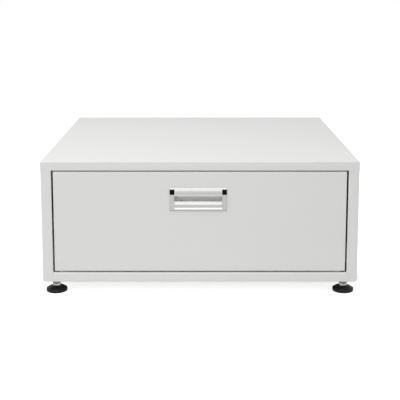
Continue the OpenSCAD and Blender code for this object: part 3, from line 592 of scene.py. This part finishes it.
# feet: black pad, stud with its own hexagon, lock nut under the cabinet and weld nut inside it
footLook = {"washer": 0.95, "slope": 30, "hexHeight": 5 * mm, "studRadius": 5 * mm, "pitch": 1.5 * mm,
            "threadDepth": 0.8 * mm, "socket": 6.05 * mm, "play": 0.05 * mm, "countersink": 0.6 * mm,
            "sides": 96}
nutLow, nutHigh = solidsOf("foot_lock_nuts")[0]
hexFlats = nutHigh.x - nutLow.x  # width across flats; the corners point to front and rear


def hexRings(low, high):  # rings of a chamfered hexagon, as (radius at an angle, height)
    inner = hexFlats / 2
    start = inner * footLook["washer"]
    slope = math.tan(math.radians(footLook["slope"]))
    deep = (inner / math.cos(math.pi / 6) - start) * slope

    def ring(height):
        cone = start + min(height - low, high - height) / slope
        return lambda angle: min(inner / math.cos((angle + math.pi / 6) % (math.pi / 3) - math.pi / 6), cone)

    steps = [deep * t for t in (0, 0.15, 0.3, 0.45, 0.65, 0.85, 1.05)]
    return [(ring(low + t), low + t) for t in steps] + [(ring(high - t), high - t) for t in reversed(steps)]


def threadedRod(centre, low, high, sides=36, rows=8):  # rows of points follow the helix
    radius, depth, pitch = footLook["studRadius"], footLook["threadDepth"], footLook["pitch"]
    bm = bmesh.new()
    grid = []
    for row in range(-rows, int((high - low) / pitch + 1) * rows + 1):
        line = []
        for i in range(sides + 1):
            z = min(max(low + pitch * (row / rows + i / sides), low), high)
            phase = ((z - low) / pitch - i / sides) % 1
            groove = min(max(1.35 * abs(2 * phase - 1) - 0.15, 0), 1)  # flat crest and root, sloping flanks
            r = min(radius - depth * groove, radius - 1.1 * depth + high - z)  # chamfered at the top
            angle = 2 * math.pi * i / sides
            line.append(bm.verts.new((centre.x + r * math.cos(angle), centre.y + r * math.sin(angle), z)))
        grid.append(line)
    for lower, upper in zip(grid, grid[1:]):
        for i in range(sides):
            bm.faces.new((lower[i], lower[i + 1], upper[i + 1], upper[i]))
    bmesh.ops.remove_doubles(bm, verts=bm.verts, dist=0.002 * mm)
    bmesh.ops.holes_fill(bm, edges=bm.edges, sides=0)
    return bm


def stud(node, padTop):
    low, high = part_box(node)
    centre = (low + high) / 2
    hexLow = padTop + footLook["play"]
    hexHigh = hexLow + footLook["hexHeight"]
    foot = footLook["socket"] - footLook["play"]
    chamfer = 1 * mm
    rings = [(0, low.z), (foot - chamfer, low.z), (foot, low.z + chamfer), (foot, hexLow)]
    rings += hexRings(hexLow, hexHigh) + [(0, hexHigh)]
    bm = bmesh.new()
    turned(bm, rings, centre, footLook["sides"])
    addTo(bm, threadedRod(centre, hexHigh - 0.5 * mm, high.z))
    standFor(meshObject(node + "_threaded", bm, 30), node, "stud_steel")


# pad: a hollow sole, a rounded rim with a crease and a step above it, a dome and a collar round the socket
padLook = {"hollow": 0.6 * mm, "hollowReach": 0.62, "soleReach": 0.66, "soleRound": 1.2 * mm,
           "soleGap": 0.1 * mm, "rimHeight": 6 * mm, "rimRound": 0.8 * mm, "shoulder": 0.9 * mm,
           "crease": 0.05 * mm, "step": 0.25 * mm, "neckWall": 2.2 * mm, "collar": 0.5 * mm,
           "domeSteps": 8, "socketFloor": 3 * mm, "socketEdge": 0.4 * mm}


def pad(node):
    low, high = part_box(node)
    centre = (low + high) / 2
    reach = (high.x - low.x) / 2
    rim, top = padLook["rimHeight"], high.z
    sole, brow, step = padLook["soleRound"], padLook["rimRound"], padLook["step"]
    rings = [(0, padLook["hollow"]), (reach * padLook["hollowReach"], padLook["hollow"]),
             (reach * padLook["soleReach"], 0), (reach - sole - padLook["soleGap"], 0)]
    rings += arc(reach - sole, sole, sole, -85, 0, 5)
    rings += arc(reach - brow, rim - brow, brow, 5, 80, 5)
    shoulder = reach - padLook["shoulder"]
    rings += [(shoulder, rim - padLook["crease"]), (shoulder - step, rim + step)]
    socket = footLook["socket"]
    neck = socket + padLook["neckWall"]
    collar, edge = padLook["collar"], padLook["socketEdge"]
    for number in range(1, padLook["domeSteps"] + 1):  # dome between the shoulder and the neck
        t = number / padLook["domeSteps"]
        rings.append((shoulder - step + (neck - shoulder + step) * t,
                      rim + step + (top - rim - 0.6 * collar - step) * (1 - (1 - t) ** 2)))
    rings += [(neck - 0.3 * collar, top - 0.2 * collar), (neck - collar, top), (socket + edge, top),
              (socket, top - edge), (socket, padLook["socketFloor"]), (0, padLook["socketFloor"])]
    bm = bmesh.new()
    turned(bm, rings, centre, footLook["sides"])
    standFor(meshObject(node + "_moulded", bm, 50), node)


def nuts(node):
    bore = footLook["studRadius"] + footLook["play"]
    sink = footLook["countersink"]
    bm = bmesh.new()
    for low, high in solidsOf(node):
        rings = hexRings(low.z, high.z)
        rings += [(bore + sink, high.z), (bore, high.z - sink), (bore, low.z + sink), (bore + sink, low.z)]
        turned(bm, rings, (low + high) / 2, footLook["sides"], True)
    standFor(meshObject(node + "_chamfered", bm, 30), node, "nut_steel")


for corner in ("front_left", "front_right", "rear_left", "rear_right"):
    pad("foot_pad_" + corner)
    stud("foot_stud_" + corner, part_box("foot_pad_" + corner)[1].z)
nuts("foot_lock_nuts")
nuts("foot_weld_nuts")
print("feet done")

# ball slides, folded from strip; u runs from the mounting face towards the drawer, v up from the middle.
# slots and holes are in mm from the member's front end
slideLook = {"steel": 1.2 * mm, "slot": 20 * mm, "slotWidth": 6 * mm, "hole": 6.5 * mm, "edge": 0.12 * mm,
             "outer": {"bend": 2.2 * mm, "lipBend": 1.1 * mm, "lip": 1.9 * mm,
                       "slots": (70, 115, 160, 280, 325, 425), "holes": (12, 50, 190, 255, 360)},
             "middle": {"bend": 2 * mm, "lipBend": 0.7 * mm, "lip": 1.8 * mm,
                        "slots": (40, 95, 150, 290, 345, 400), "holes": (14, 70, 122, 318, 426)},
             "inner": {"bend": 2 * mm, "slots": (70, 150, 270, 350), "holes": (14, 110, 190, 310, 430)}}


# Outline of a strip along a middle line of (u, v, radius), given as its upper half
def folded(upperHalf, thick):
    lowerHalf = [(u, -v, radius) for u, v, radius in reversed(upperHalf)]
    line = rounded(lowerHalf + upperHalf)
    sides = ([], [])
    for i, (u, v) in enumerate(line):
        back = Vector(line[max(i - 1, 0)])
        ahead = Vector(line[min(i + 1, len(line) - 1)])
        way = (ahead - back).normalized()
        sides[0].append((u - way.y * thick / 2, v + way.x * thick / 2))
        sides[1].append((u + way.y * thick / 2, v - way.x * thick / 2))
    return sides[0] + sides[1][::-1]


def stadium(y, z):  # outline of a slot
    length, width = slideLook["slot"] / 2, slideLook["slotWidth"] / 2
    radius = width / 1.005  # the two arcs of an end nearly meet
    corners = [(y + length * a, z + width * b, radius) for a, b in ((-1, -1), (1, -1), (1, 1), (-1, 1))]
    return rounded(corners, 8)


def circle(y, z, radius, sides=24):
    angles = [2 * math.pi * i / sides for i in range(sides)]
    return [(y + radius * math.cos(a), z + radius * math.sin(a)) for a in angles]


def mountingFace(side):  # x of the outer member's back, side is -1 on the left and 1 on the right
    low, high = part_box("left_slide_outer" if side < 0 else "right_slide_outer")
    return low.x if side < 0 else high.x


def slideMember(node, upperHalf, look):
    low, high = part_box(node)
    side = math.copysign(1, low.x)
    face = mountingFace(side)
    middle = (low.z + high.z) / 2
    bm = bmesh.new()
    pushed(bm, folded(upperHalf, slideLook["steel"]), low.y, high.y,
           lambda u, v, w: Vector((face - side * u, w, middle + v)))
    piece = breakEdges(meshObject(node + "_rolled", bm, 25), slideLook["edge"], 60, 1)
    web = upperHalf[0][0]
    start, end = (face - side * (web + reach) for reach in (-1.5 * mm, 1.5 * mm))
    outlines = [stadium(low.y + y * mm, middle) for y in look["slots"]]
    outlines += [circle(low.y + y * mm, middle, slideLook["hole"] / 2) for y in look["holes"]]
    punch = bmesh.new()
    for outline in outlines:
        pushed(punch, outline, start, end, lambda u, v, w: Vector((w, u, v)))
    cut(piece, meshObject("punch", punch))
    standFor(piece, node)


def slides():
    half = slideLook["steel"] / 2
    outer, middle, inner = slideLook["outer"], slideLook["middle"], slideLook["inner"]
    for hand, side in (("left", -1), ("right", 1)):
        def reach(member):  # nearest and farthest u, and half the height
            low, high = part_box(hand + "_slide_" + member)
            near, far = sorted(abs(mountingFace(side)) - abs(x) for x in (low.x, high.x))
            return near, far, (high.z - low.z) / 2

        near, far, tall = reach("outer")
        top = tall - half
        slideMember(hand + "_slide_outer",
                    [(half, top, outer["bend"]), (far - half, top, outer["lipBend"]),
                     (far - half, top - outer["lip"], 0)], outer)
        near, far, tall = reach("middle")
        top = tall - middle["lip"]
        slideMember(hand + "_slide_middle",
                    [(near + half, top, middle["bend"]), (far - half, top, middle["lipBend"]),
                     (far - half, tall - 0.05 * mm, 0)], middle)
        near, far, tall = reach("inner")
        top = tall - half
        slideMember(hand + "_slide_inner", [(far - half, top, inner["bend"]), (near, top, 0)], inner)


slides()
print("slides done")

# moulded, cast and cut pieces keep their CAD shape with broken edges, this wide
brokenEdges = {"handle_grip": 0.35 * mm, "handle_housing": 0.22 * mm, "handle_left_cap": 0.5 * mm,
               "handle_right_cap": 0.5 * mm, "slide_bumpers": 1.0 * mm, "drawer_left_side": 0.3 * mm,
               "drawer_right_side": 0.3 * mm, "drawer_back": 0.3 * mm, "drawer_bottom": 0.3 * mm}


def softened(node, width, turn=20):
    bm = bmesh.new()
    bm.from_mesh(nodes[node].data)
    bmesh.ops.remove_doubles(bm, verts=bm.verts, dist=1e-6)
    bmesh.ops.dissolve_limit(bm, angle_limit=math.radians(0.5), verts=bm.verts, edges=bm.edges)
    piece = breakEdges(meshObject(node + "_softened", bm, turn), width, turn, 2)
    standFor(piece, node, "recess_metal" if node == "handle_housing" else None)


for node, width in brokenEdges.items():
    softened(node, width)
print("edges broken")

# floor and light: the lamps and the sky light the object, and the camera sees plain white behind it
lamps = {"overhead softbox": {"spot": (-0.35, -0.75, 1.65), "aim": (0, -0.15, 0.2),
                              "size": (2.0, 1.4), "watts": 18.2},
         "front softbox": {"spot": (-0.9, -2.5, 0.9), "aim": (0, -0.3, 0.15),
                           "size": (1.2, 1.2), "watts": 3}}
skyLook = {"light": 0.4, "backdrop": 1.0, "white": (1.0, 1.0, 1.0)}
# the glow is full from this far inside the cabinet's outline along X and Y, and fades further in, which
# paints a shadow on the floor under the cabinet
floorLook = {"shade": (0.86, 0.86, 0.86), "rough": 0.9, "halfSide": 7, "squares": 8,
             "glow": 0.78, "inset": (-0.0375, 0.07), "fade": (0.0425, 0.06)}


def seen(f):  # 1 for what the camera, a reflection or a view through glass sees
    rays = f.add("ShaderNodeLightPath", {}, {}, "Is Camera Ray")
    outputs = rays.socket.node.outputs
    both = Wire(f, outputs["Is Glossy Ray"]) + Wire(f, outputs["Is Transmission Ray"])
    return f.add("ShaderNodeMath", {"operation": "ADD", "use_clamp": True}, {0: rays, 1: both})


def clearOfPaintedShadow(f):  # 1 on the open floor, 0 deep under the cabinet: the glow is left out there, a painted shadow where no light gets in
    middle = (cadBox[0] + cadBox[1]) / 2
    half = (cadBox[1] - cadBox[0]) / 2
    outside = []
    for axis, (inset, fade) in enumerate(zip(floorLook["inset"], floorLook["fade"])):
        edge = half[axis] - inset
        outside.append(f.ramp(abs(f.along(axis) - middle[axis]), edge - fade, edge))
    return f.calc("MAXIMUM", *outside)


def floor():
    bm = bmesh.new()
    squares = floorLook["squares"]
    bmesh.ops.create_grid(bm, x_segments=squares, y_segments=squares, size=floorLook["halfSide"])
    piece = meshObject("floor", bm)
    f = Finish("pale floor", {"Base Color": floorLook["shade"], "Roughness": floorLook["rough"]})
    plain = Wire(f, f.shader.outputs[0])
    glow = f.add("ShaderNodeEmission", {}, {"Color": skyLook["white"], "Strength": floorLook["glow"]})
    lit = f.add("ShaderNodeAddShader", {}, {0: plain, 1: glow})
    # the glow, masked off under the cabinet, paints a shadow on the floor there
    shown = f.add("ShaderNodeMixShader", {}, {0: seen(f) * clearOfPaintedShadow(f), 1: plain, 2: lit})
    f.plug(f.tree.nodes["Material Output"].inputs["Surface"], shown)
    piece.data.materials.append(f.material)
    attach(piece, bodyOf["foot_pad_front_left"])  # the floor stays under this foot when it is screwed out


def sky():
    world = bpy.data.worlds.new("studio")
    bpy.context.scene.world = world
    world.use_nodes = True
    f = Shading(world.node_tree)
    ambient = f.add("ShaderNodeBackground", {}, {"Color": skyLook["white"], "Strength": skyLook["light"]})
    backdrop = f.add("ShaderNodeBackground", {}, {"Color": skyLook["white"], "Strength": skyLook["backdrop"]})
    shown = f.add("ShaderNodeMixShader", {}, {0: seen(f), 1: ambient, 2: backdrop})
    f.plug(f.tree.nodes["World Output"].inputs["Surface"], shown)


def lamp(name, spot, aim, size, watts):
    data = bpy.data.lights.new(name, "AREA")
    data.shape = "RECTANGLE"
    data.size, data.size_y = size
    data.energy = watts
    piece = bpy.data.objects.new(name, data)
    piece.location = spot
    piece.rotation_euler = (Vector(aim) - Vector(spot)).to_track_quat("-Z", "Y").to_euler()
    bpy.context.collection.objects.link(piece)


bpy.context.scene.view_settings.view_transform = "Standard"
floor()
sky()
for name, look in lamps.items():
    lamp(name, **look)
print("studio ready")
